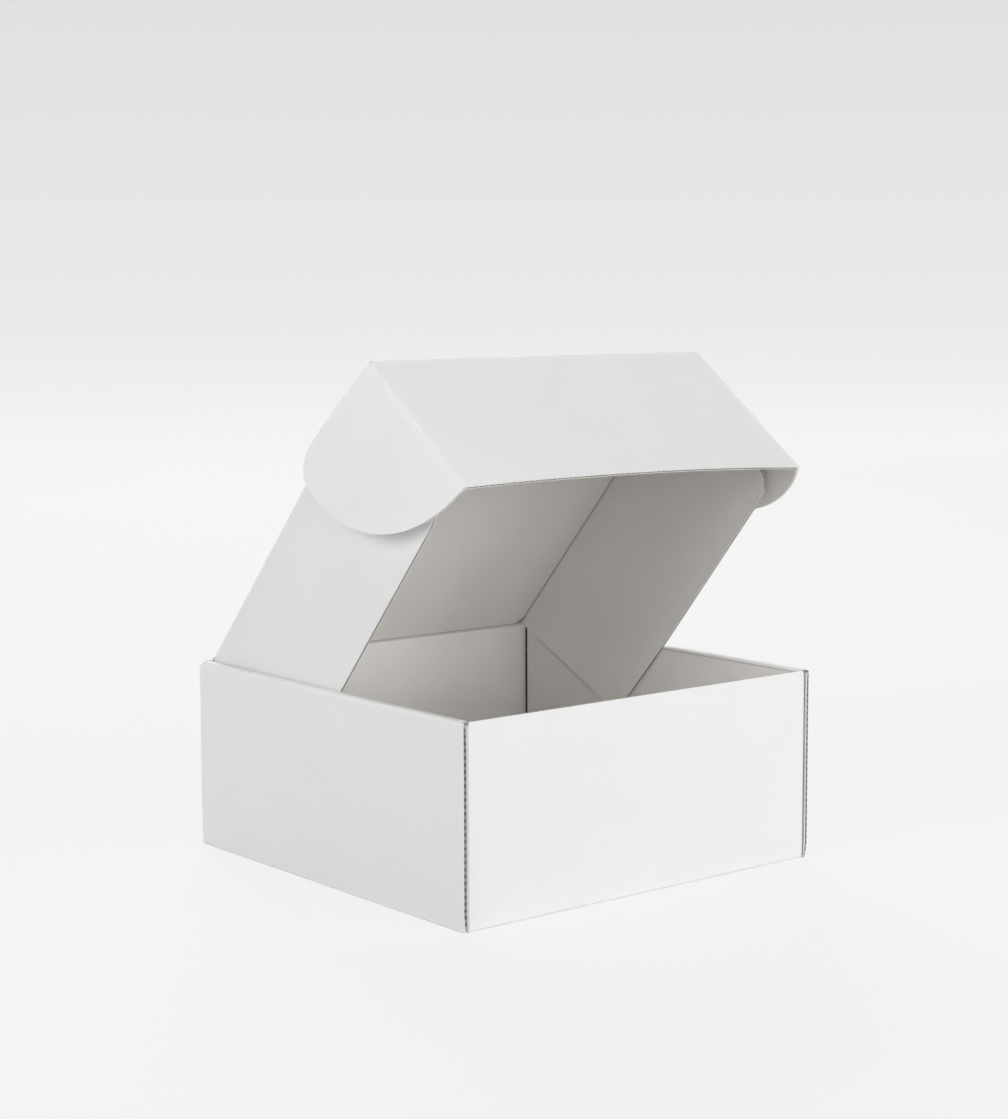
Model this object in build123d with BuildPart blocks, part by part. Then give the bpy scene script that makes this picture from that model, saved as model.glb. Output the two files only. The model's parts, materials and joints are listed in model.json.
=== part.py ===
# Corrugated mailer box, folded from one die-cut blank of E-flute board.
# Units are millimetres. The origin is the centre of the underside, +Z is up, and the
# front wall faces -Y. The lid stands part open, as it is while the box is being filled.
from build123d import *
import os
from math import floor

os.makedirs("parts", exist_ok=True)

# Board
board = 1.5  # thickness of the corrugated board
liner = 0.28  # thickness of each facing sheet
flute_pitch = 3.3  # from one wave of the fluting to the next
flute_depth = 2.5  # how far the open flutes run in from a raw edge
flute_web = 0.3  # board left between one open flute and the next
layer_gap = 0.2  # air between two layers that lie against each other
fold_round = 1.5  # outside radius of a fixed fold
crease_clear = 0.3  # running gap beside a fold that moves

# Tray
box_width = 230.0  # outside, left to right
box_depth = 228.0  # outside, front to back
box_height = 100.5  # outside, without the lid
front_drop = 0.5  # raw top edges below the rolled side tops
roll_inset = 3.6  # ends of the rolled side tops, in from the front and back faces
inner_floor_gap = 0.3  # underside of the inner side panels above the floor
corner_flap_length = 62.0  # of the flaps held inside the side walls
corner_flap_taper = 4.0  # slope of their free ends
tab_length = 26.0  # lock tabs of the inner side panels
tab_spacing = 118.0  # from one lock tab to the next
tab_corner = 0.8  # chamfer on each tab's leading corners
tab_recess = 0.2  # tab's end above the underside of the floor

# Lid
lid_angle = 48.0  # degrees that the lid stands open
lid_length = 222.0  # outside, from the hinge fold to the tuck fold
ear_room = 0.5  # running gap on each face of an ear that stands square
dust_depth = 90.0  # outside, from the top of the lid to the free edge
dust_back_start = 5.0  # back end of the dust flap's fold, from the hinge fold
dust_back_lean = 21.0  # slope of the back edge over its depth
dust_front_start = 4.5  # front end of the dust flap's fold, from the tuck fold
dust_front_lean = 8.0  # slope of the front edge over its depth
dust_corner = 13.0  # rounding of the front lower corner
dust_heel = 9.0  # rounding of the back lower corner

# Tuck flap and its ears
tuck_height = 96.5  # outside, from the tuck fold to the raw edge
tuck_lean = 5.0  # degrees that the flap stands out past square
ear_top_gap = 2.0  # top of each ear below the top of the lid
ear_reach = 70.0  # from the fold to the widest point of an ear
ear_shoulder = 21.5  # from the top of the lid to the start of the round edge
ear_corner = 13.0  # rounding between an ear's top and its round edge
left_ear_flare = 10.0  # degrees that each ear stands out past square
right_ear_flare = 2.0

# Places that follow from the sizes above
half_board = board / 2
seam = half_board + crease_clear
wall = 3 * board + 2 * layer_gap
half_width = box_width / 2
half_depth = box_depth / 2
raw_top = box_height - front_drop
inner_half = half_width - wall
front_half = half_width - board - layer_gap
inner_bottom = board + inner_floor_gap
hinge_y = half_depth - half_board
hinge_z = box_height - half_board
back_top = hinge_z - seam
corner_flap_top = back_top - layer_gap
tuck_half = inner_half - ear_room
ear_fold_x = tuck_half - half_board
lid_half = tuck_half - board - ear_room
lid_span = lid_length - board
tuck_span = tuck_height - half_board
dust_front = lid_span - dust_front_start

hinge_point = Vector(0, hinge_y, hinge_z)
lid_out = Vector(0, -1, 0).rotate(Axis.X, -lid_angle)
lid_in = Vector(0, 0, -1).rotate(Axis.X, -lid_angle)
tuck_point = hinge_point + lid_out * lid_span
tuck_out = lid_in.rotate(Axis.X, -tuck_lean)
tuck_back = lid_out.rotate(Axis.X, -tuck_lean) * -1


def flute_mouths(run):
    """Return the open flutes of a raw edge: two rows of triangles along X, centred."""
    count = floor(run / flute_pitch)
    rise = half_board - liner
    foot = flute_pitch / 2 - flute_web
    with BuildSketch() as mouths:
        with GridLocations(flute_pitch, 0, count, 1):
            Polygon((-foot, -rise), (foot, -rise), (0, rise), align=None)
        with GridLocations(flute_pitch, 0, count - 1, 1):
            Polygon((-foot, rise), (0, -rise), (foot, rise), align=None)
    return mouths.sketch


def ear_outline():
    """Return an ear's outline: X away from its fold, Y down from the tuck fold."""
    ear_top = ear_top_gap - half_board
    ear_side = ear_shoulder - half_board
    with BuildSketch() as outline:
        with BuildLine():
            Polyline((seam, tuck_span), (seam, ear_top), (ear_reach, ear_top), (ear_reach, ear_side))
            TangentArc((ear_reach, ear_side), (seam, tuck_span), tangent=(0, 1))
        make_face()
        fillet(outline.vertices().group_by(Axis.Y)[0].sort_by(Axis.X)[-1], ear_corner)
    return outline.sketch


# The tray is modelled as its right half, and mirrored at the end.
side_edge_plane = Plane(
    origin=(half_width - half_board, -half_depth, raw_top / 2), x_dir=(0, 0, 1), z_dir=(0, -1, 0)
)
with BuildPart() as tray:
    # Floor and outer side panel, one strip folded up along the side
    with BuildSketch(Plane.XZ):
        Rectangle(half_width, raw_top, align=(Align.MIN, Align.MIN))
        fillet(vertices().group_by(Axis.Y)[0].sort_by(Axis.X)[-1], fold_round)
        with Locations((0, board)):
            Rectangle(half_width - board, raw_top, align=(Align.MIN, Align.MIN), mode=Mode.SUBTRACT)
    extrude(amount=half_depth, both=True)
    # Rounded folds along the floor's front and back edges, between the side panels
    with BuildSketch(Plane.YZ):
        with Locations((half_depth, 0)):
            Rectangle(fold_round, fold_round, align=(Align.MAX, Align.MIN))
        with Locations((half_depth - fold_round, fold_round)):
            Circle(fold_round, mode=Mode.SUBTRACT)
        mirror(about=Plane.YZ)
    extrude(amount=front_half, mode=Mode.SUBTRACT)
    # Front and back walls up to their raw tops
    with BuildSketch(Plane.XY.offset(fold_round)):
        with Locations((0, -half_depth)):
            Rectangle(front_half - fold_round, board, align=(Align.MIN, Align.MIN))
    extrude(amount=raw_top - fold_round)
    with BuildSketch(Plane.XY.offset(fold_round)):
        with Locations((0, half_depth)):
            Rectangle(front_half - fold_round, board, align=(Align.MIN, Align.MAX))
    extrude(amount=back_top - fold_round)
    # Rounded corner folds, where the walls turn back into the side walls
    with BuildSketch(Plane.XY.offset(inner_bottom)):
        with Locations((front_half, half_depth)):
            Rectangle(2 * fold_round, 2 * fold_round, align=(Align.MAX, Align.MAX))
        fillet(vertices().group_by(Axis.Y)[-1].sort_by(Axis.X)[-1], fold_round)
        with Locations((front_half - board, half_depth - board)):
            Rectangle(2 * fold_round, 2 * fold_round, align=(Align.MAX, Align.MAX), mode=Mode.SUBTRACT)
        mirror(about=Plane.XZ)
    extrude(amount=corner_flap_top - inner_bottom)
    # Corner flaps held inside the side wall
    with BuildSketch(Plane.YZ.offset(front_half - board)):
        with BuildLine():
            Polyline(
                (half_depth - fold_round, inner_bottom),
                (half_depth - corner_flap_length, inner_bottom),
                (half_depth - corner_flap_length + corner_flap_taper, corner_flap_top),
                (half_depth - fold_round, corner_flap_top),
                close=True,
            )
        make_face()
        mirror(about=Plane.YZ)
    extrude(amount=board)
    # Rolled top and inner side panel
    with BuildSketch(Plane.XZ):
        with Locations((half_width, box_height)):
            Rectangle(wall, box_height - inner_bottom, align=(Align.MAX, Align.MAX))
        fillet(vertices().group_by(Axis.Y)[-1], fold_round)
        with Locations((half_width - board, box_height - board)):
            Rectangle(
                board + 2 * layer_gap,
                box_height,
                align=(Align.MAX, Align.MAX),
                mode=Mode.SUBTRACT,
            )
    extrude(amount=half_depth - roll_inset, both=True)
    # Slots in the floor, and the inner panel's lock tabs in them
    with BuildSketch(Plane.XY):
        with Locations((inner_half + half_board, 0)):
            with GridLocations(0, tab_spacing, 1, 2):
                Rectangle(board + 2 * crease_clear, tab_length + 2 * crease_clear)
    extrude(amount=board, mode=Mode.SUBTRACT)
    with BuildSketch(Plane.YZ.offset(inner_half)):
        with Locations((0, tab_recess)):
            with GridLocations(tab_spacing, 0, 2, 1):
                Rectangle(tab_length, board + inner_bottom - tab_recess, align=(Align.CENTER, Align.MIN))
        chamfer(vertices().group_by(Axis.Y)[0], tab_corner)
    extrude(amount=board)
    # Open flutes in the raw edges of the side panel and of the front wall's top
    with BuildSketch(side_edge_plane, side_edge_plane.offset(-box_depth)):
        add(flute_mouths(raw_top - 2 * fold_round))
    extrude(amount=flute_depth, both=True, mode=Mode.SUBTRACT)
    mirror(about=Plane.YZ)
    with BuildSketch(Plane.XY.offset(raw_top)):
        with Locations((0, half_board - half_depth)):
            add(flute_mouths(2 * (front_half - 2 * fold_round)))
    extrude(amount=-flute_depth, mode=Mode.SUBTRACT)
tray.part.label = "tray"
export_step(tray.part, "parts/tray.step")

# On these planes X runs across the lid. On the first Y runs from the hinge to the tuck
# fold, and on the second, which crosses the lid, Y runs into the box.
lid_plane = Plane(origin=hinge_point, x_dir=(1, 0, 0), z_dir=lid_in)
lid_end_plane = Plane(origin=hinge_point + lid_out * dust_front, x_dir=(1, 0, 0), z_dir=lid_out * -1)
lid_side_plane = Plane(origin=hinge_point, x_dir=lid_out, z_dir=(1, 0, 0))
with BuildPart() as lid:
    # Panel, between the two folds that move
    with BuildSketch(lid_plane):
        Rectangle(2 * (lid_half - fold_round), lid_span, align=(Align.CENTER, Align.MIN))
    extrude(amount=half_board, both=True)
    with BuildSketch(lid_side_plane):
        Circle(half_board)
        with Locations((lid_span, 0)):
            Circle(half_board)
    extrude(amount=lid_half - fold_round, both=True)
    # Fixed folds of the dust flaps
    with BuildSketch(lid_end_plane):
        with Locations((0, -half_board)):
            Rectangle(2 * lid_half, 3 * board, align=(Align.CENTER, Align.MIN))
        fillet(vertices().group_by(Axis.Y)[0], fold_round)
        with Locations((0, half_board)):
            Rectangle(2 * (lid_half - board), 3 * board, align=(Align.CENTER, Align.MIN), mode=Mode.SUBTRACT)
    extrude(amount=dust_front - dust_back_start)
    # Dust flap on the right, and its mirror image
    with BuildSketch(lid_side_plane.offset(lid_half - board)):
        with BuildLine():
            Polyline(
                (dust_back_start, board),
                (dust_back_start + dust_back_lean, dust_depth - half_board),
                (dust_front - dust_front_lean, dust_depth - half_board),
                (dust_front, board),
                close=True,
            )
        make_face()
        lower_corners = vertices().group_by(Axis.Y)[-1].sort_by(Axis.X)
        fillet(lower_corners[0], dust_heel)
        fillet(vertices().group_by(Axis.Y)[-1].sort_by(Axis.X)[-1], dust_corner)
    extrude(amount=board)
    mirror(about=Plane.YZ)
lid.part.label = "lid"
export_step(lid.part, "parts/lid.step")

# On this plane X runs across the tuck flap and Y down to its raw edge.
tuck_plane = Plane(origin=tuck_point, x_dir=(1, 0, 0), z_dir=tuck_back)
with BuildPart() as tuck_flap:
    with BuildSketch(tuck_plane):
        with Locations((0, seam)):
            Rectangle(2 * ear_fold_x, tuck_span - seam, align=(Align.CENTER, Align.MIN))
    extrude(amount=half_board, both=True)
    # Round beads along the folds of the ears
    with BuildSketch(Plane(origin=tuck_point + tuck_out * seam, x_dir=(1, 0, 0), z_dir=tuck_out)):
        with GridLocations(2 * ear_fold_x, 0, 2, 1):
            Circle(half_board)
    extrude(amount=tuck_span - seam)
    # Open flutes in the raw lower edge
    with BuildSketch(Plane(origin=tuck_point + tuck_out * tuck_span, x_dir=(1, 0, 0), z_dir=tuck_out)):
        add(flute_mouths(2 * (ear_fold_x - board)))
    extrude(amount=-flute_depth, mode=Mode.SUBTRACT)
tuck_flap.part.label = "tuck_flap"
export_step(tuck_flap.part, "parts/tuck_flap.step")

left_ear_out = tuck_back.rotate(Axis((0, 0, 0), tuple(tuck_out)), -left_ear_flare)
left_ear_plane = Plane(
    origin=tuck_point - Vector(ear_fold_x, 0, 0), x_dir=left_ear_out, z_dir=left_ear_out.cross(tuck_out)
)
with BuildPart() as left_ear:
    with BuildSketch(left_ear_plane):
        add(ear_outline())
    extrude(amount=half_board, both=True)
left_ear.part.label = "left_ear"
export_step(left_ear.part, "parts/left_ear.step")

right_ear_out = tuck_back.rotate(Axis((0, 0, 0), tuple(tuck_out)), right_ear_flare)
right_ear_plane = Plane(
    origin=tuck_point + Vector(ear_fold_x, 0, 0), x_dir=right_ear_out, z_dir=right_ear_out.cross(tuck_out)
)
with BuildPart() as right_ear:
    with BuildSketch(right_ear_plane):
        add(ear_outline())
    extrude(amount=half_board, both=True)
right_ear.part.label = "right_ear"
export_step(right_ear.part, "parts/right_ear.step")
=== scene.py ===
import json
import math
import bmesh
import bpy
from mathutils import Matrix, Vector, noise
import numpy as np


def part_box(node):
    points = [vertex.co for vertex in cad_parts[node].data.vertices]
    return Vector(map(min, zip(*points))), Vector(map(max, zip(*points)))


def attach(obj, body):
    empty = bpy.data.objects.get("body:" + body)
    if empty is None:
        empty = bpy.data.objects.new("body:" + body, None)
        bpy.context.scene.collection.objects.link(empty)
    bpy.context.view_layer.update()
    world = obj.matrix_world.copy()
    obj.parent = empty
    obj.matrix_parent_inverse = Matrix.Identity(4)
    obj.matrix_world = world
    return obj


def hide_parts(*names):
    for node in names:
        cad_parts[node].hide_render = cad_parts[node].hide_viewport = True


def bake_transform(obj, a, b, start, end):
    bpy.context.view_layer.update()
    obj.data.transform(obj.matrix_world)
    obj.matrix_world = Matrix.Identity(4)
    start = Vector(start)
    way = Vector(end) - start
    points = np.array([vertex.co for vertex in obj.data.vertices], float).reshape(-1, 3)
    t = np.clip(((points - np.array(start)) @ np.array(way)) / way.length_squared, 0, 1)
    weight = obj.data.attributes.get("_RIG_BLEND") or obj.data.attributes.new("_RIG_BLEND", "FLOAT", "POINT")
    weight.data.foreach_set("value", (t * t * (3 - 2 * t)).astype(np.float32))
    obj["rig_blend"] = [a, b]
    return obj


# A corrugated mailer box with its lid part open. Lengths are in millimetres until a mesh
# is finished, and then the mesh is scaled to metres.
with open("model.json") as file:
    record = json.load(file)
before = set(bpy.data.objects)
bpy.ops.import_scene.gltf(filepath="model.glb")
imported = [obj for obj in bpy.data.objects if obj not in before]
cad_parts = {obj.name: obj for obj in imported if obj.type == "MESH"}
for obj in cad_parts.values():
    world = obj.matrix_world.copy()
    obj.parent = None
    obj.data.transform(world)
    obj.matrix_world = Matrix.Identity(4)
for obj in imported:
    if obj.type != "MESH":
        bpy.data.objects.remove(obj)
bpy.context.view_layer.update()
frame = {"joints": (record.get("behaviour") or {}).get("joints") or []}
mm = 0.001

board = {
    "thickness": 1.5,
    "liner": 0.36,  # each facing sheet
    "medium": 0.2,  # the fluted paper between them
    "flutePitch": 3.3,
    "waveSteps": 6,  # mesh columns in one wave
    "foldRadius": 1.5,  # outside of a fixed fold
    "cornerRadius": 2.2,  # outside of the upright folds in the tray's corners
    "foldSteps": 6,
    "crush": 0.75,  # share of the wave that a fold presses flat
    "foldReach": 2.5,  # how far a fold marks the board on each side
    "foldNear": 0.8,  # extra stops beside a fold, for its mark
    "creaseNear": 1.6,  # the same beside a fold that moves
    "calmReach": 28.0,  # flat panels keep still this near to a fold
    "seam": 1.05,  # from a moving fold's axis to the flat board
    "layerClear": 0.004,  # room between the flutes and the liners
    "panelStep": 7.0,  # mesh size of the liners
    "fluteStep": 75.0,  # mesh size along the flutes
    "join": 0.02,  # points closer than this are one
    "rimGap": 0.3,  # room for the paper that closes a crushed edge
    "stripGap": 0.06,  # keeps a strip apart from the fold beside it
    "swell": 0.35,  # share by which the board is thicker at an open raw edge
    "swellReach": 1.6,
    "swayScale": 70.0,  # size of the flat panels' unevenness
    "sharpTurn": 32.0,  # degrees, past which an edge isn't shaded smooth
}
halfBoard = board["thickness"] / 2
across = Vector((1, 0, 0))

joints = {joint["name"]: joint for joint in frame["joints"]}
hinge = Vector(joints["lid_hinge"]["pos_m"]) / mm
tuckFold = Vector(joints["tuck_flap_fold"]["pos_m"]) / mm
lidOut = (tuckFold - hinge).normalized()  # from the hinge to the tuck fold
lidIn = across.cross(lidOut)  # from the lid into the box
tuckOut = Vector(joints["right_ear_fold"]["axis"])  # from the tuck fold to the raw edge
tuckIn = across.cross(tuckOut)


# Paths and stops
def heading(angle):
    return Vector((math.cos(angle), math.sin(angle)))


def boardPath(start, angle, moves, bend=board["foldRadius"]):
    # The outer face of a folded strip. The board is on the left, and a fold turns left.
    legs, point, angle, run = [], Vector(start), math.radians(angle), 0.0
    for kind, amount in moves:
        length = amount if kind == "go" else math.radians(amount) * bend
        leg = {"kind": kind, "run": run, "length": length, "point": point, "angle": angle}
        legs.append(dict(leg, bend=bend))
        point, inward = pathSpot(legs, run + length)
        angle = math.atan2(-inward.x, inward.y)
        run += length
    return legs


def pathSpot(legs, run):
    # A point on the outer face, and the direction into the board.
    leg = next((leg for leg in legs if run <= leg["run"] + leg["length"] + 1e-6), legs[-1])
    past, inward = run - leg["run"], heading(leg["angle"] + math.pi / 2)
    if leg["kind"] == "go":
        return leg["point"] + heading(leg["angle"]) * past, inward
    centre = leg["point"] + inward * leg["bend"]
    inward = heading(leg["angle"] + math.pi / 2 + past / leg["bend"])
    return centre - inward * leg["bend"], inward


def pathLength(legs):
    return legs[-1]["run"] + legs[-1]["length"]


def foldDistance(legs, run):
    folds = [leg for leg in legs if leg["kind"] == "turn"]
    return min(max(leg["run"] - run, run - leg["run"] - leg["length"], 0) for leg in folds)


def stops(low, high, step):
    count = max(1, round((high - low) / step))
    return [low + (high - low) * k / count for k in range(count + 1)]


def gather(*groups):
    # One sorted list of stops, without near doubles.
    kept = []
    for stop in sorted(stop for group in groups for stop in group):
        if not kept or stop - kept[-1] > board["join"]:
            kept.append(stop)
    return kept


def turnStops(leg):
    return stops(leg["run"], leg["run"] + leg["length"], leg["length"] / board["foldSteps"])


def pathStops(legs, step):
    found = []
    for leg in legs:
        low, high = leg["run"], leg["run"] + leg["length"]
        if leg["kind"] == "turn":
            found += turnStops(leg)
            continue
        found += stops(low, high, step)
        for gap in (board["foldNear"], board["foldReach"]):
            if leg["length"] > 4 * gap:
                found += [low + gap, high - gap]
    return gather(found)


def easeIn(distance, reach=board["calmReach"]):
    share = min(max(distance / reach, 0), 1)
    return share * share * (3 - 2 * share)


# How hard a fold marks the board: a lighter tone on the outer liner, and painted shade on the inner liner.
def foldMark(distance):
    return max(0, 1 - distance / board["foldReach"]) ** 2


# Board layers: outer liner, inner liner and the fluted paper between them
def outerDepth(run, mark):
    return 0.0


def innerDepth(run, mark):
    return board["thickness"]


def fluteDepth(run, mark):
    swing = halfBoard - board["liner"] - board["medium"] / 2 - board["layerClear"]
    wave = math.cos(2 * math.pi * abs(run) / board["flutePitch"])
    return halfBoard - board["medium"] / 2 + swing * wave * (1 - board["crush"] * min(mark, 1))


# slots: the finish of a sheet's own face, its cut edge and the side that faces the flutes
layers = {
    "outer": {"depth": outerDepth, "facing": -1, "thick": board["liner"], "slots": (0, 2, 3)},
    "inner": {"depth": innerDepth, "facing": 1, "thick": board["liner"], "slots": (1, 2, 3)},
    "flute": {"depth": fluteDepth, "facing": -1, "thick": board["medium"], "slots": (3, 4, 3)},
}


def unique(items):
    # A list without repeats that keeps its order, so that every run gives the same mesh.
    return list(dict.fromkeys(items))


def newBoard():
    # The layers come first, because adding one later would lose the mesh's own references.
    bm = bmesh.new()
    bm.loops.layers.uv.new("UVMap")
    bm.verts.layers.float.new("fold")
    return bm


def addSheet(bm, layer, columns, rows, spot, keep=None):
    # spot(column, row) gives a point of the outer face, the way into the board, how hard a
    # fold marks the board there, and the distance across the flutes.
    wide, long = len(columns) - 1, len(rows) - 1
    verts = bmesh.ops.create_grid(bm, x_segments=wide, y_segments=long, size=0.5)["verts"]
    place = {
        v: (columns[round((v.co.x + 0.5) * wide)], rows[round((v.co.y + 0.5) * long)])
        for v in verts
    }
    faces = unique(face for v in verts for face in v.link_faces)
    if keep:
        drop = []
        for face in faces:
            column = sum(place[v][0] for v in face.verts) / 4
            row = sum(place[v][1] for v in face.verts) / 4
            if not keep(column, row):
                drop.append(face)
        dropped = set(drop)
        faces = [face for face in faces if face not in dropped]
        bmesh.ops.delete(bm, geom=drop, context="FACES")
    uv, mark = bm.loops.layers.uv["UVMap"], bm.verts.layers.float["fold"]
    inward = {}
    for v in [v for v in verts if v.is_valid]:
        point, inward[v], v[mark], run = spot(*place[v])
        v.co = point + inward[v] * layer["depth"](run, v[mark])
        for loop in v.link_loops:
            loop[uv].uv = (run * mm, place[v][1] * mm)
    probe = max(faces, key=lambda face: face.calc_area())
    probe.normal_update()
    if probe.normal.dot(inward[probe.verts[0]]) * layer["facing"] < 0:
        bmesh.ops.reverse_faces(bm, faces=faces)
    return faces


def thicken(bm, faces, layer):
    # Joins the sheets of one layer, and gives the paper its thickness.
    verts = unique(v for face in faces for v in face.verts)
    bmesh.ops.remove_doubles(bm, verts=verts, dist=board["join"] * 1.5)
    faces = [face for face in faces if face.is_valid]
    border = [edge for face in faces for edge in face.edges if edge.is_boundary]
    for face in faces:
        face.material_index, face.smooth = layer["slots"][0], True
    known = set(bm.faces)
    bmesh.ops.solidify(bm, geom=faces, thickness=layer["thick"])
    for face in set(bm.faces) - known:
        face.material_index, face.smooth = layer["slots"][2], True
    for face in {face for edge in border for face in edge.link_faces} - known:
        face.material_index = layer["slots"][1]


def boardPiece(name, finishes, sheets, turnedIn=None):
    # sheets(bm, layer, kind) adds every sheet of one layer, and gives back their faces.
    # turnedIn(place) tells where the outer liner gets the finish of the inside.
    bm = newBoard()
    for kind, layer in layers.items():
        thicken(bm, sheets(bm, layer, kind), layer)
    for face in bm.faces:
        if turnedIn and face.material_index == 0 and turnedIn(face.calc_center_median()):
            face.material_index = 1
    return finishPiece(bm, name, finishes)


def finishPiece(bm, name, finishes):
    bm.normal_update()
    for edge in bm.edges:
        closed = len(edge.link_faces) == 2
        edge.smooth = closed and edge.calc_face_angle(0) < math.radians(board["sharpTurn"])
    bmesh.ops.scale(bm, vec=(mm, mm, mm), verts=bm.verts)
    mesh = bpy.data.meshes.new(name)
    bm.to_mesh(mesh)
    print(f"{name}: {sum(len(face.verts) - 2 for face in bm.faces)} triangles")
    bm.free()
    for finish in finishes:
        mesh.materials.append(finish)
    piece = bpy.data.objects.new(name, mesh)
    bpy.context.scene.collection.objects.link(piece)
    return piece


def columnStep(kind):
    # Mesh size across the flutes: a few columns in each wave of the fluted paper.
    return board["flutePitch"] / board["waveSteps"] if kind == "flute" else board["panelStep"]


def rowStep(kind):
    return board["fluteStep"] if kind == "flute" else board["panelStep"]


# Paper finishes
class Wire:
    # A shader socket that takes part in sums.
    def __init__(self, finish, socket):
        self.finish, self.socket = finish, socket

    def maths(self, operation, *values):
        return self.finish.node("ShaderNodeMath", {"operation": operation}, dict(enumerate(values)))

    def __add__(self, other):
        return self.maths("ADD", self, other)

    def __mul__(self, other):
        return self.maths("MULTIPLY", self, other)

    def __sub__(self, other):
        return self.maths("SUBTRACT", self, other)

    def __rsub__(self, other):
        return self.maths("SUBTRACT", other, self)

    def sine(self):
        return self.maths("SINE", self)

    __radd__, __rmul__ = __add__, __mul__


class Finish:
    # The node tree of a material or the world, under construction.
    def __init__(self, owner, shader):
        owner.use_nodes = True
        self.tree = owner.node_tree
        self.shader = self.tree.nodes[shader]

    def fill(self, node, inputs):
        for key, value in inputs.items():
            if isinstance(value, Wire):
                self.tree.links.new(value.socket, node.inputs[key])
            else:
                node.inputs[key].default_value = value

    def node(self, kind, settings=None, inputs=None, output=0):
        node = self.tree.nodes.new(kind)
        for key, value in (settings or {}).items():
            if key == "stops":
                ramp = node.color_ramp.elements
                while len(ramp) < len(value):
                    ramp.new(1)
                for element, (position, shade) in zip(ramp, value):
                    element.position, element.color = position, (shade, shade, shade, 1)
            else:
                setattr(node, key, value)
        self.fill(node, inputs or {})
        return Wire(self, node.outputs[output])

    def noise(self, place, scale, detail=2.0, rough=0.5):
        values = {"Vector": place, "Scale": scale, "Detail": detail, "Roughness": rough}
        return self.node("ShaderNodeTexNoise", None, values)

    def blendColours(self, share, first, second):
        return self.node("ShaderNodeMix", {"data_type": "RGBA"}, {0: share, 6: first, 7: second}, 2)

    def ramp(self, value, stopList):
        return self.node("ShaderNodeValToRGB", {"stops": stopList}, {0: value})


def colour(shade):
    return (shade[0], shade[1], shade[2], 1)


def paperFinish(name, look):
    material = bpy.data.materials.new(name)
    finish = Finish(material, "Principled BSDF")
    place = finish.node("ShaderNodeTexCoord", output=3)
    strip = finish.node("ShaderNodeUVMap", {"uv_map": "UVMap"})
    acrossFlutes = finish.node("ShaderNodeSeparateXYZ", None, {0: strip})
    fold = finish.node("ShaderNodeAttribute", {"attribute_name": "fold"}, output=2)
    cloud = finish.noise(place, *look["cloudNoise"])
    fibre = finish.noise(place, *look["fibreNoise"])
    fleck = finish.ramp(finish.noise(place, *look["fleckNoise"]), look["fleckStops"])
    phase = acrossFlutes * (2 * math.pi / (board["flutePitch"] * mm))
    wave = phase.sine()
    hollowLight = 0.5 - (phase + math.pi / 2).sine() * 0.5  # painted light: 1 where the flutes touch the outer liner
    shade = (cloud - 0.5) * look["cloud"] + (fibre - 0.5) * look["fibre"] + 0.5
    paper = finish.blendColours(shade, colour(look["dark"]), colour(look["light"]))
    paper = finish.blendColours(fleck * look["fleck"], paper, colour(look["fleckShade"]))
    # Near a fold: lighter on the outer liner, painted shade on the inner liner.
    paper = finish.blendColours(fold * look["foldTint"], paper, colour(look["foldShade"]))
    # A line along the fold itself: lighter on the outer liner, a dark painted shade line on the inner liner.
    line = fold.maths("MINIMUM", fold, 1.0)
    line = line.maths("POWER", line, look["linePower"]) * look["line"]
    paper = finish.blendColours(line, paper, colour(look["lineShade"]))
    # Painted shade in the gap or groove of a corner.
    gap = fold.maths("MAXIMUM", fold - 1.0, 0.0) * look["gap"]
    paper = finish.blendColours(gap, paper, colour(look["gapShade"]))
    # Painted light in the flute hollows, once in each flute.
    if look["hollowLight"]:
        paper = finish.blendColours(hollowLight * look["hollowLight"], paper, colour(look["hollowLightShade"]))
    height = (
        wave * look["washboard"]
        + (fibre - 0.5) * look["fibreRelief"]
        + (cloud - 0.5) * look["cloudRelief"]
        + fold * (finish.noise(place, *look["foldNoise"]) - 0.5) * look["foldRelief"]
    )
    bump = finish.node("ShaderNodeBump", None, {"Strength": 1.0, "Distance": mm, "Height": height})
    finish.fill(finish.shader, {
        "Base Color": paper,
        "Roughness": (fibre - 0.5) * look["roughSpread"] + look["rough"],
        "Normal": bump,
        "Specular IOR Level": look["gloss"],
    })
    return material


# Each noise is its scale per metre, its detail and, where given, its roughness. A fold's attribute
# goes up to 1 where the board is only creased, and on to 2 in the gap of an inner corner; past 1 it sets
# painted shade.
outerLook = {
    "light": (0.885, 0.885, 0.885), "dark": (0.835, 0.835, 0.832),
    "cloudNoise": (28.0, 3.0, 0.55), "cloud": 0.7,
    "fibreNoise": (900.0, 5.0, 0.68), "fibre": 0.9,
    "fleckNoise": (1400.0, 1.0), "fleckStops": [(0.0, 0), (0.68, 0), (0.76, 1)],
    "fleck": 0.10, "fleckShade": (0.70, 0.69, 0.66),
    "foldTint": 0.1, "foldShade": (0.94, 0.94, 0.935),
    "line": 0.35, "linePower": 2.0, "lineShade": (0.94, 0.94, 0.935),  # along the fold itself
    # gap: painted shade in a corner's groove or gap, where the fold attribute passes 1
    "gap": 0.8, "gapShade": (0.32, 0.31, 0.30),
    "hollowLight": 0.0, "hollowLightShade": (0.62, 0.58, 0.53),  # painted light in the flute hollows, where the flutes touch the outer liner
    "washboard": 0.004, "fibreRelief": 0.03, "cloudRelief": 0.10,  # all relief is in millimetres
    "foldNoise": (2600.0, 3.0), "foldRelief": 0.05,
    "rough": 0.62, "roughSpread": 0.18, "gloss": 0.32,
}
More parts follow.
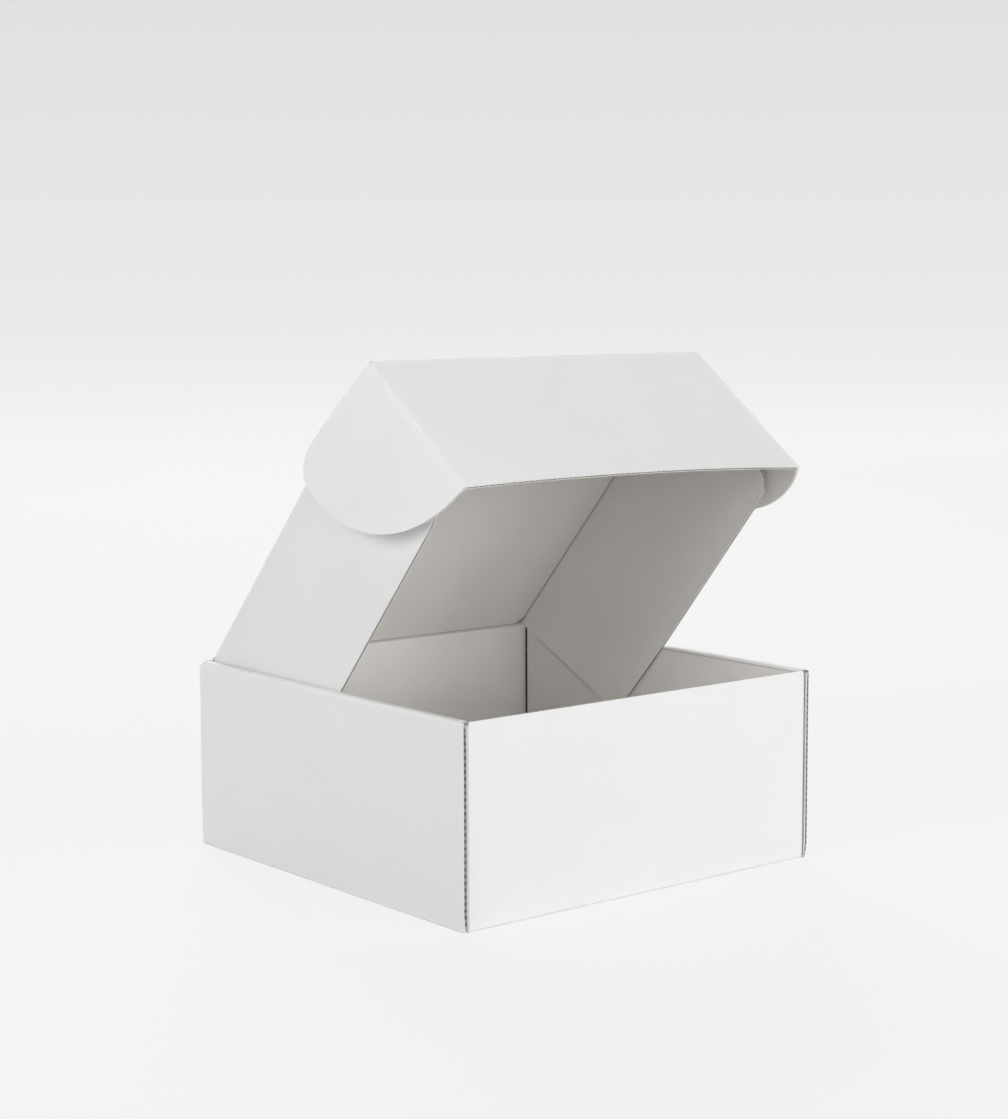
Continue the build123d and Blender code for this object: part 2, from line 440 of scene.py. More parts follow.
# The inside: darker painted shade near a fold, a dark painted shade line along the fold, and near-black
# painted shade in a corner's gap.
innerLook = dict(
    outerLook,
    light=(0.895, 0.874, 0.848), dark=(0.838, 0.815, 0.786),
    fleck=0.22, fleckShade=(0.60, 0.57, 0.53),
    fibre=1.2, fibreRelief=0.045, rough=0.82, gloss=0.18, washboard=0.007,
    foldTint=0.5, foldShade=(0.80, 0.78, 0.76), line=0.85, linePower=4.0,
    lineShade=(0.16, 0.15, 0.14), gap=0.95, gapShade=(0.07, 0.065, 0.06),
)
cutLook = dict(
    outerLook,
    light=(0.94, 0.935, 0.92), dark=(0.82, 0.81, 0.785), fibre=1.6, fleck=0.3,
    rough=0.9, gloss=0.1, foldTint=0.0, line=0.0, gap=0.0, washboard=0.0, fibreRelief=0.09,
)
# The fluted paper and the liners' sides that face it: kraft brown, made darker as painted shade in the flute
# hollows, with painted light once in each flute where the flutes touch the outer liner.
fluteLook = dict(
    outerLook,
    light=(0.20, 0.17, 0.14), dark=(0.10, 0.082, 0.066), fibre=1.6,
    fleck=0.4, fleckShade=(0.10, 0.085, 0.07), hollowLight=0.75,
    rough=0.92, gloss=0.1, foldTint=0.0, line=0.0, gap=0.0, washboard=0.0, fibreRelief=0.08,
)
fluteEdgeLook = dict(fluteLook, light=(0.60, 0.56, 0.50), dark=(0.42, 0.38, 0.33))
crushedLook = dict(cutLook, light=(0.88, 0.87, 0.845), dark=(0.72, 0.705, 0.675))
finishes = [
    paperFinish("white_liner", outerLook),
    paperFinish("inner_liner", innerLook),
    paperFinish("cut_paper", cutLook),
    paperFinish("fluted_paper", fluteLook),
    paperFinish("flute_edge", fluteEdgeLook),
]
crushedEdge = paperFinish("crushed_edge", crushedLook)
earFinishes = [*finishes[:3], crushedEdge, crushedEdge]  # the die has pressed the ears' edges shut
print("paper finishes made")

# Tray: floor, walls, corner flaps, rolled sides with lock tabs
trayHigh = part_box("tray")[1] / mm
tray = {
    "halfWidth": trayHigh.x,
    "halfDepth": trayHigh.y,
    "height": trayHigh.z,
    "rawTop": trayHigh.z - 0.5,  # raw edges below the rolled tops
    "layerGap": 0.2,
    "rollInset": 3.6,  # rolled tops end in from the front and back
    "innerBottom": 1.8,
    "tabTip": 0.2,
    "tabLength": 26.0,
    "tabSpacing": 118.0,
    "slotClear": 0.3,
    "flapLength": 62.0,
    "flapTaper": 4.0,
    "sway": 0.16,  # unevenness of the flat panels
    "proud": 0.5,  # how far the side panels' ends stand before the front wall
    "gapShade": 1.2,  # width of the painted shade line in an inner corner
    "gapMark": 2.0,  # how dark that painted shade line is
    "grooveMark": 1.15,  # how dark the painted shade in a front corner's groove starts and ends
    "grooveEnd": 1.85,
    "grooveShare": 0.55,  # of the corner's fold
    "curl": 1.3,  # how far the side panels' front ends curl in at the floor
    "curlHeight": 9.0,
    "curlDepth": 7.0,
    "droop": 1.8,  # how far the side panels' top corners stand down at the back
    "droopReach": 5.5,
    "droopFrom": 80.0,  # height at which they start to, and over how much more they do so fully
    "droopRise": 20.0,
    "endSway": 0.35,  # share of the unevenness that is left at a side panel's ends
    "swellCalm": 4.0,  # a raw edge isn't swollen this near to a fold
    "hornStart": 107.9,
    "hornStep": 0.1,
    "horn": 1.4,  # how far the back wall's ends stand up beside the lid
}
radius, cornerRadius = board["foldRadius"], board["cornerRadius"]
wallThick = 3 * board["thickness"] + 2 * tray["layerGap"]
frontHalf = tray["halfWidth"] - board["thickness"] - tray["layerGap"]
innerHalf = tray["halfWidth"] - wallThick
wallHalf = frontHalf - cornerRadius  # flat part of the front and back walls
rollEnd = tray["halfDepth"] - tray["rollInset"]
sideEnd = tray["halfDepth"] + tray["proud"]
backTop = hinge.z - board["seam"]
flapTop = backTop - tray["layerGap"]
slotHalf = tray["tabLength"] / 2 + tray["slotClear"]
tabEdges = [
    side * (tray["tabSpacing"] / 2 + end * half)
    for side in (-1, 1)
    for end in (-1, 1)
    for half in (tray["tabLength"] / 2, slotHalf)
]


def edgeSwell(gap):
    # The board is a little thicker at a raw edge, where the cut has opened it.
    return board["swell"] * max(0, 1 - gap / board["swellReach"]) ** 2


def sway(point, amount, calm):
    return amount * calm * noise.noise(point / board["swayScale"]) * 2


baseLegs = boardPath((-tray["halfDepth"], tray["rawTop"]), -90, [
    ("go", tray["rawTop"] - radius), ("turn", 90), ("go", 2 * (tray["halfDepth"] - radius)),
    ("turn", 90), ("go", backTop - radius),
])
floorRun = baseLegs[2]["run"] + tray["halfDepth"] - radius  # where the path crosses Y = 0
backRun = baseLegs[4]["run"] - radius  # the back wall's run at Z = 0


def baseSpot(x, run):
    spot, inward = pathSpot(baseLegs, run)
    point, inward = Vector((x, spot.x, spot.y)), Vector((0, inward.x, inward.y))
    gap = foldDistance(baseLegs, run)
    calm = easeIn(gap) * easeIn(frontHalf - abs(x)) * easeIn(pathLength(baseLegs) - run)
    mark = foldMark(gap)
    onWall = run < baseLegs[0]["length"] - 1 or run > baseLegs[4]["run"] + 1
    # The walls' ends get painted shade: a groove beside the front corners, and a dark line in the back
    # corners.
    if onWall and abs(x) > wallHalf - board["join"]:
        mark = tray["gapMark"] if run > floorRun else tray["grooveMark"]
    atTop = run > pathLength(baseLegs) - board["join"]
    if atTop and abs(x) > tray["hornStart"] + tray["hornStep"] / 2:
        point.z += tray["horn"]
    return point + inward * sway(point, tray["sway"], calm), inward, mark, x


slotEdges = [innerHalf - tray["slotClear"], innerHalf + board["thickness"] + tray["slotClear"]]


def baseKeep(x, run):
    # Leaves out the slots for the lock tabs, and the walls beyond their corner folds.
    onFloor = baseLegs[1]["run"] < run < baseLegs[4]["run"]
    inSlot = abs(abs(run - floorRun) - tray["tabSpacing"] / 2) < slotHalf
    if inSlot and slotEdges[0] < abs(x) < slotEdges[1]:
        return False
    return onFloor or abs(x) < wallHalf


sideLegs = boardPath((frontHalf, 0), 0, [
    ("go", tray["halfWidth"] - radius - frontHalf), ("turn", 90),
    ("go", tray["height"] - 2 * radius), ("turn", 90),
    ("go", wallThick - 2 * radius), ("turn", 90),
    ("go", tray["height"] - radius - tray["tabTip"]),
])
notchTurn = math.asin((tray["rawTop"] - tray["height"] + radius) / radius)
notchRun = sideLegs[3]["run"] + notchTurn * radius
innerRun = sideLegs[6]["run"] + tray["height"] - radius - tray["innerBottom"]


def sideSpot(side):
    def spot(run, y):
        flat, inward = pathSpot(sideLegs, run)
        point, inward = Vector((side * flat.x, y, flat.y)), Vector((side * inward.x, 0, inward.y))
        gap = foldDistance(sideLegs, run)
        if run < notchRun:
            low = max(1 - point.z / tray["curlHeight"], 0)
            end = min(max((tray["curlDepth"] - sideEnd - y) / tray["curlDepth"], 0), 1)
            point.x -= side * tray["curl"] * low ** 2 * end ** 2
        back = min(max((y - sideEnd + tray["droopReach"]) / tray["droopReach"], 0), 1)
        high = easeIn(point.z - tray["droopFrom"], tray["droopRise"])
        point.z -= tray["droop"] * back ** 2 * high
        toEnd = sideEnd - abs(y)
        calmEnd = tray["endSway"] + (1 - tray["endSway"]) * easeIn(toEnd)
        calm = easeIn(gap) * calmEnd * easeIn(pathLength(sideLegs) - run)
        point += inward * sway(point, tray["sway"], calm)
        if run < notchRun:
            inward = inward * (1 + edgeSwell(toEnd) * easeIn(gap, tray["swellCalm"]))
        return point, inward, foldMark(gap), frontHalf + run
    return spot


def rollRim(side, end):
    # Closes the rolled top's end with crushed board.
    def spot(run, row):
        flat, inward = pathSpot(sideLegs, run)
        depth = board["thickness"] * row
        ahead = end * (rollEnd + board["rimGap"])
        point = Vector((side * (flat.x + inward.x * depth), ahead, flat.y + inward.y * depth))
        return point, Vector((0, -end, 0)), 0.0, frontHalf + run
    return spot


def sideKeep(run, y):
    if run > innerRun and abs(abs(y) - tray["tabSpacing"] / 2) > tray["tabLength"] / 2:
        return False
    return run < notchRun or abs(y) < rollEnd


flapLegs = boardPath((wallHalf, -tray["halfDepth"]), 0, [
    ("turn", 90), ("go", tray["flapLength"] - cornerRadius),
], cornerRadius)


def flapSpot(side, end):
    def spot(run, z):
        flat, inward = pathSpot(flapLegs, run)
        point = Vector((side * flat.x, end * -flat.y, z))
        inward = Vector((side * inward.x, end * -inward.y, 0))
        # Painted shade along the corner's fold: at the front it darkens towards the side panel, at the back
        # it is the inner corner's dark line.
        share = min(run / flapLegs[0]["length"] / tray["grooveShare"], 1)
        mark = tray["grooveMark"] + (tray["grooveEnd"] - tray["grooveMark"]) * share
        mark = mark if end < 0 else tray["gapMark"]
        return point, inward, mark * foldMark(foldDistance(flapLegs, run)), wallHalf + run
    return spot


def traySheets(bm, layer, kind):
    # The floor with the front and back walls
    floorEnd = tray["halfDepth"] - radius
    wallRows = stops(tray["innerBottom"], flapTop, rowStep(kind))
    floorRows = gather(stops(-floorEnd, floorEnd, rowStep(kind)), [-rollEnd, rollEnd], tabEdges)
    rows = gather(
        [0, baseLegs[0]["length"], pathLength(baseLegs)],
        [tray["rawTop"] - z for z in wallRows],
        [floorRun + y for y in floorRows],
        [backRun + z for z in wallRows],
        *[turnStops(leg) for leg in baseLegs if leg["kind"] == "turn"],
    )
    horn = [tray["hornStart"], tray["hornStart"] + tray["hornStep"]]
    edges = slotEdges + [wallHalf - tray["gapShade"], wallHalf, frontHalf] + horn
    edges = [side * x for side in (-1, 1) for x in edges]
    columns = gather(stops(-frontHalf, frontHalf, columnStep(kind)), edges)
    faces = addSheet(bm, layer, columns, rows, baseSpot, baseKeep)
    # The side walls, the corner flaps and the rolled tops' ends
    sideColumns = gather(pathStops(sideLegs, columnStep(kind)), [notchRun, innerRun])
    ends = [sideEnd, sideEnd - board["swellReach"] / 3, sideEnd - board["swellReach"]]
    sideRows = gather(floorRows, [side * y for side in (-1, 1) for y in ends])
    rimLow = sideLegs[3]["run"] - board["join"]
    rimHigh = sideLegs[5]["run"] + sideLegs[5]["length"] + board["join"]
    rimColumns = [column for column in sideColumns if rimLow < column < rimHigh]
    flapColumns = pathStops(flapLegs, columnStep(kind))
    for side in (-1, 1):
        faces += addSheet(bm, layer, sideColumns, sideRows, sideSpot(side), sideKeep)
        for end in (-1, 1):
            flap = addSheet(bm, layer, flapColumns, wallRows, flapSpot(side, end))
            faces += trimFlap(bm, flap, end)
            if kind == "outer":
                faces += addSheet(bm, layer, rimColumns, [0, 1], rollRim(side, end))
    return faces


def trimFlap(bm, faces, end):
    # The flap's free end slopes back towards its top.
    foot = Vector((0, end * (tray["halfDepth"] - tray["flapLength"]), tray["innerBottom"]))
    slope = Vector((0, end * tray["flapTaper"], flapTop - tray["innerBottom"]))
    beyond = Vector((0, -end * slope.z, abs(slope.y)))
    edges = unique(edge for face in faces for edge in face.edges)
    verts = unique(v for face in faces for v in face.verts)
    bmesh.ops.bisect_plane(
        bm, geom=[*verts, *edges, *faces], plane_co=foot, plane_no=beyond, clear_outer=True
    )
    return unique(face for v in verts if v.is_valid for face in v.link_faces)


def rolledIn(place):
    # The outer liner of the rolled walls' inner panels looks into the box.
    inPanel = innerHalf - 1 < abs(place.x) < innerHalf + board["thickness"] * 0.4
    return inPanel and abs(place.y) < rollEnd and tray["innerBottom"] < place.z < tray["rawTop"] - 1


trayBoard = boardPiece("tray_board", finishes, traySheets, rolledIn)
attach(trayBoard, "tray")
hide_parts("tray")

# Lid with its two dust flaps
lid = {
    "half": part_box("lid")[1].x / mm,
    "span": (tuckFold - hinge).length,
    "dustDepth": 90.0,
    "backStart": 2.0, "backLean": 24.0, "heel": 9.0,
    "frontStart": 4.5, "frontLean": 8.0, "corner": 13.0,
    "sway": 0.22,
    "deepBack": 1.4,  # the dust flaps are deeper at the back than at the front
    "shallowFront": 2.4,
    "splayBack": 2.1,  # how far their free edges spring outward
    "splayFront": 2.15,
    "splayPower": 0.5,  # under 1 bulges the back, and the front leans out straight
    "splayTurn": 84.0,  # where depth and splay start to change, from the hinge
    "calmReach": 60.0,  # the dust flaps keep still this near to their folds
    "fluteShift": 1.04,  # leaves an open flute along the dust flaps' free edges
    "closedHeel": 7.0,  # crushed part of their back edges
    "cornerTurn": 10,  # degrees between the stops of a rounded corner
}
dustLow, dustHigh = lid["backStart"], lid["span"] - lid["frontStart"]
dustLegs = boardPath((lid["half"] - radius, -halfBoard), 0, [
    ("turn", 90), ("go", lid["dustDepth"] - radius),
])


def roundedLean(lean, depth, bend):
    # How far an edge stands in at a given depth: it leans, and its lower corner is rounded.
    slope, start = math.atan2(lean, depth), depth - bend
    centre = lean * start / depth + bend / math.cos(slope)
    def inset(down):
        if down < start + bend * math.sin(slope):
            return lean * max(down, 0) / depth
        return centre - math.sqrt(max(bend ** 2 - (down - start) ** 2, 0))
    return inset


dustFlat = lid["dustDepth"] - halfBoard - board["thickness"]
backInset = roundedLean(lid["backLean"], dustFlat, lid["heel"])
frontInset = roundedLean(lid["frontLean"], dustFlat, lid["corner"])


def lidPoint(x, along, into):
    return hinge + across * x + lidOut * along + lidIn * into


def lidSpot(x, along):
    calm = easeIn(along) * easeIn(lid["span"] - along) * easeIn(lid["half"] - abs(x))
    point = lidPoint(x, along, -halfBoard)
    side = foldMark(abs(lid["half"] - radius - abs(x)))
    mark = max(foldMark(along - board["seam"]), foldMark(lid["span"] - board["seam"] - along), side)
    return point + lidIn * sway(point, lid["sway"], calm), lidIn, mark, x


def dustSpot(side):
    def spot(run, row):
        flat, inward = pathSpot(dustLegs, run)
        down = flat.y - board["thickness"]
        low, high = dustLow + backInset(down), dustHigh - frontInset(down)
        along = low + (high - low) * (row - dustLow) / (dustHigh - dustLow)
        inward = across * side * inward.x + lidIn * inward.y
        gap = foldDistance(dustLegs, run)
        share = max(down, 0) / dustFlat
        turn = max(along - lid["splayTurn"], 0) / (dustHigh - lid["splayTurn"])
        deeper = share * (lid["deepBack"] - turn * (lid["deepBack"] + lid["shallowFront"]))
        power = lid["splayPower"] + turn * (1 - lid["splayPower"])
        splay = share ** power * (lid["splayBack"] + turn * (lid["splayFront"] - lid["splayBack"]))
        point = lidPoint(side * (flat.x + splay), along, flat.y + deeper)
        calm = easeIn(gap, lid["calmReach"])
        place = lid["half"] - radius + run + lid["fluteShift"]
        return point + inward * sway(point, lid["sway"], calm), inward, foldMark(gap), place
    return spot


def heelRim(side):
    # Crushed board closes the first part of a dust flap's back edge.
    def spot(run, row):
        point, inward, _, place = dustSpot(side)(run, dustLow)
        point = point + inward * board["thickness"] * row - lidOut * board["rimGap"]
        return point, lidOut, 0.0, place
    return spot


def dustRim(bend, depth):
    # Stops that follow a rounded corner at the free edge.
    turns = [math.sin(math.radians(angle)) for angle in range(0, 91, lid["cornerTurn"])]
    return [depth - bend * (1 - turn) for turn in turns]


def lidSheets(bm, layer, kind):
    rows = stops(dustLow, dustHigh, rowStep(kind))
    low, high = board["seam"], lid["span"] - board["seam"]
    ends = [low, low + board["creaseNear"], high - board["creaseNear"], high]
    width = lid["half"] - radius
    nearFold = [width - board["foldNear"], width - board["foldReach"]]
    nearFold = [side * x for side in (-1, 1) for x in nearFold]
    columns = gather(stops(-width, width, columnStep(kind)), nearFold)
    faces = addSheet(bm, layer, columns, gather(rows, ends), lidSpot)
    # Strips that reach the lid's corners, beyond the dust flaps' folds
    for side in (-1, 1):
        for tips in (gather(ends[:2], [dustLow]), gather([dustHigh], ends[2:])):
            tips = [row for row in tips if row <= dustLow or row >= dustHigh]
            corner = sorted((side * (width + board["stripGap"]), side * lid["half"]))
            faces += addSheet(bm, layer, corner, tips, lidSpot)
    total = pathLength(dustLegs)
    rounded = [dustRim(lid[bend], total) for bend in ("heel", "corner")]
    columns = gather(pathStops(dustLegs, columnStep(kind)), *rounded)
    closed = stops(0, dustLegs[0]["length"] + lid["closedHeel"], 1)
    for side in (-1, 1):
        faces += addSheet(bm, layer, columns, rows, dustSpot(side))
        if kind == "outer":
            faces += addSheet(bm, layer, closed, [0, 1], heelRim(side))
    return faces


lidBoard = boardPiece("lid_board", finishes, lidSheets)
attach(lidBoard, "lid")
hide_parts("lid")

# Tuck flap
tuck = {
    "foldX": abs(joints["right_ear_fold"]["pos_m"][0]) / mm,  # folds of the two ears
    "span": 95.75,
    "short": 3.1,  # how much shorter the flap is at its left end
    "bow": 3.0,  # how far the middle of the raw edge stands out
    "sway": 0.12,
    "fluteRow": 12.0,  # mesh size along the flutes, fine enough for the bow
}
tuckReach = tuck["foldX"] - board["seam"]


def tuckEdge(x):
    return tuck["span"] - tuck["short"] * (0.5 - x / tuckReach / 2)


def tuckSpot(x, down):
    share = (down - board["seam"]) / (tuck["span"] - board["seam"])
    down = board["seam"] + share * (tuckEdge(x) - board["seam"])
    point = tuckFold + across * x + tuckOut * down - tuckIn * halfBoard
    bow = tuck["bow"] * (1 - (x / tuckReach) ** 2) * share ** 2
    calm = easeIn(down) * easeIn(tuckReach - abs(x))
    mark = max(foldMark(down - board["seam"]), foldMark(tuckReach - abs(x)))
    return point - tuckIn * (bow + sway(point, tuck["sway"], calm)), tuckIn, mark, x


def tuckSheets(bm, layer, kind):
    near = tuckReach - board["creaseNear"]
    columns = gather(stops(-tuckReach, tuckReach, columnStep(kind)), [-near, near])
    step = tuck["fluteRow"] if kind == "flute" else board["panelStep"]
    rows = gather(stops(board["seam"], tuck["span"], step), [board["seam"] + board["creaseNear"]])
    return addSheet(bm, layer, columns, rows, tuckSpot)


tuckBoard = boardPiece("tuck_flap_board", finishes, tuckSheets)
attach(tuckBoard, "tuck_flap")
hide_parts("tuck_flap")

# Ears at the sides of the tuck flap
ear = {
    "top": 1.25,  # top edge below the tuck fold
    "reach": {-1: 67.5, 1: 70.0},  # left and right ear
    "shoulder": {-1: 19.0, 1: 18.5},  # where the round edge ends, below the tuck fold
    "corner": {-1: 16.0, 1: 13.0},
    "power": {-1: 2.0, 1: 2.0},  # 2 gives an ellipse, more gives a fuller edge
    "flare": {-1: 10.0, 1: 2.0},  # degrees past square
    "spring": {-1: 6.0, 1: 7.5},  # how far the board curls out beyond the flare
    "springRun": {-1: 30.0, 1: 20.0},
    "sway": 0.25,
    "calmReach": 50.0,
    "rimTurn": 3,  # degrees between the stops of the round edge
    "rows": 12,  # mesh rows from top to bottom
    "fluteRows": 4,
}


def earEdges(side, run):
    # Top and bottom of the ear at a distance from its fold.
    reach, corner, shoulder = ear["reach"][side], ear["corner"][side], ear["shoulder"][side]
    past = max(run - reach + corner, 0)
    top = ear["top"] + corner - math.sqrt(max(corner ** 2 - past ** 2, 0))
    share = (run - board["seam"]) / (reach - board["seam"])
    rest = max(1 - max(share, 0) ** ear["power"][side], 0) ** (1 / ear["power"][side])
    return top, shoulder + (tuckEdge(side * tuckReach) - shoulder) * rest


def earFrame(side):
    fold = tuckFold + across * side * tuck["foldX"]
    turn = Matrix.Rotation(math.radians(ear["flare"][side] * side), 3, tuckOut)
    outward = turn @ tuckIn
    inward = outward.cross(tuckOut) * side
    if inward.x * side > 0:
        inward = -inward
    return fold, outward, inward


def earSpot(side):
    fold, outward, inward = earFrame(side)
    def spot(run, row):
        top, bottom = earEdges(side, run)
        down = top + (bottom - top) * row
        curl = ear["spring"][side] * (1 - math.exp((board["seam"] - run) / ear["springRun"][side]))
        point = fold + outward * run + tuckOut * down - inward * (halfBoard + curl)
        past = run - board["seam"]
        point = point + inward * sway(point, ear["sway"], easeIn(past, ear["calmReach"]))
        return point, inward, foldMark(past), run
    return spot


def earSheets(side):
    def sheets(bm, layer, kind):
        reach, start = ear["reach"][side], board["seam"]
        turns = [math.sin(math.radians(angle)) for angle in range(0, 91, ear["rimTurn"])]
        rim = [start + (reach - start) * turn for turn in turns]
        corner = [reach - ear["corner"][side] * (1 - turn) for turn in turns[::3]]
        near = [start + board["creaseNear"]]
        columns = gather(stops(start, reach, columnStep(kind)), rim, corner, near)
        count = ear["fluteRows"] if kind == "flute" else ear["rows"]
        return addSheet(bm, layer, columns, stops(0, 1, 1 / count), earSpot(side))
    return sheets


earNames = {-1: "left_ear", 1: "right_ear"}
for side, name in earNames.items():
    earBoard = boardPiece(f"{name}_board", earFinishes, earSheets(side))
    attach(earBoard, name)
    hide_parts(name)

# Creases that move
crease = {
    "arcSteps": 6,
    "bead": 0.1,  # ridge that the crease rule leaves on the inner liner
    "beadFoot": 0.3,  # share of it beside the ridge
    "wobble": 0.12,  # unevenness of the folded edge
    "earWobble": 0.35,
    "wobbleScales": (9.0, 3.5),  # a slow wave and a quick one of half its height
    # how hard a moving fold marks the board, which also sets its painted shade on the inside
    "mark": 0.75,
    "blendReach": 0.45,
    "step": 4.0,
}


def creaseLines(toFirst, outFirst, toSecond, outSecond):
    # Offsets from the fold's axis, across the crease, for each layer.
    seam, steps = board["seam"], crease["arcSteps"]
    arc = [outFirst.slerp(outSecond, k / steps) for k in range(steps + 1)]
    bisector = (outFirst + outSecond).normalized()
    corner = -bisector * halfBoard / bisector.dot(outFirst)
    outer = [toFirst * seam + outFirst * halfBoard]
    outer += [way * halfBoard for way in arc]
    outer += [toSecond * seam + outSecond * halfBoard]
    inner = []
    for to, out in ((toFirst, outFirst), (toSecond, outSecond)):
        edge = to * seam - out * halfBoard
        ridge = corner.lerp(edge, 0.5) - out * crease["bead"]
        half = [edge, ridge.lerp(edge, 0.5) - out * crease["bead"] * crease["beadFoot"], ridge]
        inner.append(half)
    inner = inner[0] + [corner] + inner[1][::-1]
    medium = [
        toFirst * seam, toFirst * seam * 0.5, Vector(), toSecond * seam * 0.5, toSecond * seam
    ]
    return {"outer": outer, "inner": inner, "flute": medium}


def closeEnd(bm, lines, place):
    # Crushed paper closes the board's end at a fold.
    loop = lines["outer"] + lines["inner"][::-1]
    bm.faces.new([bm.verts.new(place + offset) for offset in loop])


def creasePiece(name, bodies, axis, line, low, high, first, second, wobble=crease["wobble"]):
    # first and second give, for each panel, the way into it and its outer normal.
    lines = creaseLines(*first, *second)
    columns = stops(low, high, crease["step"])
    ridge = (first[1] + second[1]).normalized()
    bm = newBoard()
    for kind, layer in layers.items():
        offsets = lines[kind]
        last = len(offsets) - 1
        def spot(along, row):
            offset = offsets[round(row)]
            middle = math.sin(math.pi * row / last) ** 2
            point = axis + line * along
            slow, quick = (noise.noise(point / scale) for scale in crease["wobbleScales"])
            shake = slow + 0.5 * quick
            point = point + offset + ridge * shake * wobble * middle
            return point, -ridge, crease["mark"], along
        flat = dict(layer, depth=outerDepth)  # the lines hold each layer's depth already
        thicken(bm, addSheet(bm, flat, columns, list(range(last + 1)), spot), flat)
    for along in (low, high):
        closeEnd(bm, lines, axis + line * along)
    piece = finishPiece(bm, name, finishes)
    reach = crease["blendReach"]
    start, end = (axis + first[0] * reach) * mm, (axis + second[0] * reach) * mm
    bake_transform(piece, *bodies, start=start, end=end)
    return piece


creasePiece(
    "hinge_crease", ("tray", "lid"), hinge, across, -lid["half"], lid["half"],
    (Vector((0, 0, -1)), Vector((0, 1, 0))), (lidOut, -lidIn),
)
creasePiece(
    "tuck_crease", ("lid", "tuck_flap"), tuckFold, across, -lid["half"], lid["half"],
    (-lidOut, -lidIn), (tuckOut, -tuckIn),
)
for side, name in earNames.items():
    fold, outward, inward = earFrame(side)
    creasePiece(
        f"{name}_crease", ("tuck_flap", name), fold, tuckOut,
        ear["top"], tuckEdge(side * tuckReach),
        (across * -side, -tuckIn), (outward, -inward), crease["earWobble"],
    )
print("creases made")

# Studio. From here on, lengths are in metres.
studio = {
    "floorShade": (0.77, 0.77, 0.77),
    "floorRough": 0.9,
    "floorSize": 30.0,
    "sky": 0.02,  # even light from all round
    "lampAim": (0.0, 0.0, 0.12),
    # The tone that the camera sees on the floor, by distance from the box as a share of
    # floorReach, and how much of the lit floor that tone hides.
    "floorSeen": [
        (0.0, 0.97), (0.06, 0.96), (0.11, 0.92), (0.15, 0.90), (0.20, 0.905), (0.24, 0.895),
        (0.30, 0.87), (0.575, 0.84), (0.95, 0.822),
    ],
    "floorHidden": [(0.0, 0.8), (0.08, 0.87), (0.2, 1.0)],
    "floorReach": 16.0,
    "skySeen": [(0.0, 0.822), (0.5, 0.787), (1.0, 0.755)],  # backdrop from the horizon up
    "skyLow": -0.02,
    "skyHigh": 0.11,
}
lamps = {
    # place, size, power in watts
    "front_lamp": ((0.3, -3.0, 0.6), 1.2, 18.0),
    "front_right_lamp": ((1.6, -2.6, 0.6), 1.2, 28.0),
    "front_left_lamp": ((-1.6, -2.6, 0.9), 1.5, 14.0),
    "high_lamp": ((0.3, -2.4, 2.2), 2.0, 6.0),
    "left_lamp": ((-3.0, -0.4, 1.2), 2.0, 50.0),
    "top_lamp": ((0.0, -0.2, 3.2), 3.0, 23.0),
    "back_lamp": ((1.6, 2.8, 1.6), 2.0, 80.0),
}


def seenByEye(finish):
    # 1 for what the camera sees itself, or in a shiny or clear surface.
    ways = ("Is Camera Ray", "Is Glossy Ray", "Is Transmission Ray")
    camera, glossy, clear = (finish.node("ShaderNodeLightPath", None, None, way) for way in ways)
    return camera.maths("MAXIMUM", camera, glossy.maths("MAXIMUM", glossy, clear))


bm = bmesh.new()
bmesh.ops.create_grid(bm, x_segments=1, y_segments=1, size=studio["floorSize"] / 2)
floorMesh = bpy.data.meshes.new("floor")
bm.to_mesh(floorMesh)
bm.free()
floor = bpy.data.objects.new("floor", floorMesh)
bpy.context.scene.collection.objects.link(floor)
floorPaint = bpy.data.materials.new("studio_floor")
floorFinish = Finish(floorPaint, "Principled BSDF")
floorFinish.fill(floorFinish.shader, {
    "Base Color": colour(studio["floorShade"]),
    "Roughness": studio["floorRough"],
    "Specular IOR Level": 0.0,
})
place = floorFinish.node("ShaderNodeTexCoord", output=3)
away = floorFinish.node("ShaderNodeVectorMath", {"operation": "LENGTH"}, {0: place}, 1)
away = away * (1 / studio["floorReach"])
floorTone = floorFinish.ramp(away, studio["floorSeen"])
glow = floorFinish.node("ShaderNodeEmission", None, {0: floorTone})
hidden = floorFinish.ramp(away, studio["floorHidden"]) * seenByEye(floorFinish)
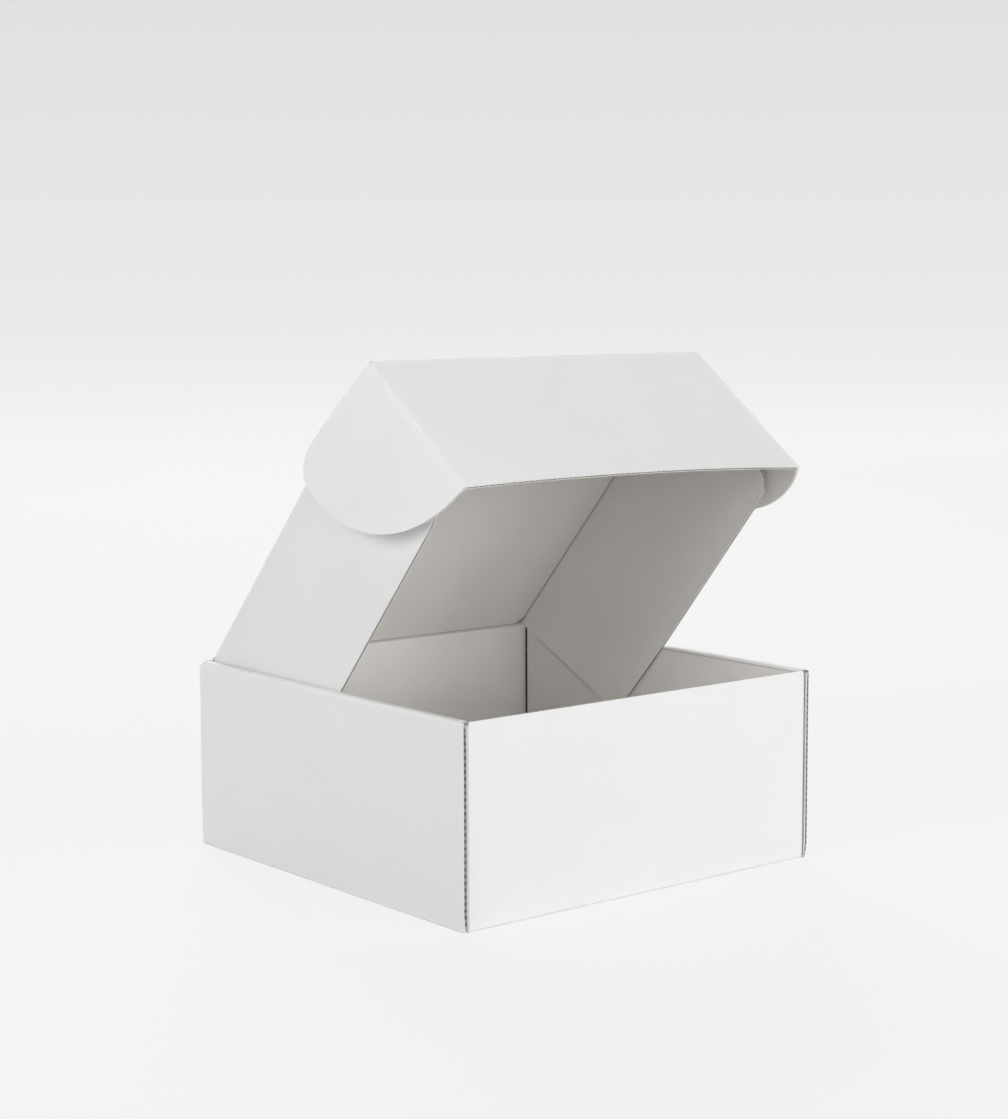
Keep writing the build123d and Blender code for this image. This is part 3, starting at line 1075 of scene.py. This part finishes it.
lit = Wire(floorFinish, floorFinish.shader.outputs[0])
mixed = floorFinish.node("ShaderNodeMixShader", None, {0: hidden, 1: lit, 2: glow})
floorFinish.fill(floorFinish.tree.nodes["Material Output"], {"Surface": mixed})
floorMesh.materials.append(floorPaint)

world = bpy.data.worlds.new("studio")
bpy.context.scene.world = world
sky = Finish(world, "Background")
direction = sky.node("ShaderNodeTexCoord")
height = sky.node("ShaderNodeSeparateXYZ", None, {0: direction}, 2)
skyRange = {0: height, 1: studio["skyLow"], 2: studio["skyHigh"]}
climb = sky.node("ShaderNodeMapRange", None, skyRange)
backdrop = sky.ramp(climb, studio["skySeen"])
even = colour([studio["sky"]] * 3)
sky.fill(sky.shader, {"Color": sky.blendColours(seenByEye(sky), even, backdrop), "Strength": 1.0})


def addLamp(name, place, size, power):
    lamp = bpy.data.lights.new(name, "AREA")
    lamp.shape, lamp.size, lamp.energy = "DISK", size, power
    stand = bpy.data.objects.new(name, lamp)
    stand.location = place
    aim = Vector(studio["lampAim"]) - Vector(place)
    stand.rotation_euler = aim.to_track_quat("-Z", "Y").to_euler()
    bpy.context.scene.collection.objects.link(stand)


for name, values in lamps.items():
    addLamp(name, *values)

# Camera
view = {
    "place": (-0.7611, -0.9401, 0.3014),
    "yaw": 39.093,  # degrees right of +Y
    "pitch": 6.822,  # degrees below level
    "roll": -0.167,
    "focalPixels": 2311.4,
    "frameHeight": 1119,
    "sensor": 36.0,
}
lens = bpy.data.cameras.new("camera")
lens.sensor_width = view["sensor"]
lens.lens = view["focalPixels"] * view["sensor"] / view["frameHeight"]
camera = bpy.data.objects.new("camera", lens)
turn = (
    Matrix.Rotation(math.radians(-view["yaw"]), 4, "Z")
    @ Matrix.Rotation(math.radians(90 - view["pitch"]), 4, "X")
    @ Matrix.Rotation(math.radians(view["roll"]), 4, "Z")
)
camera.matrix_world = Matrix.Translation(view["place"]) @ turn
bpy.context.scene.collection.objects.link(camera)
bpy.context.scene.camera = camera
bpy.context.scene.view_settings.view_transform = "Standard"

print("scene ready")
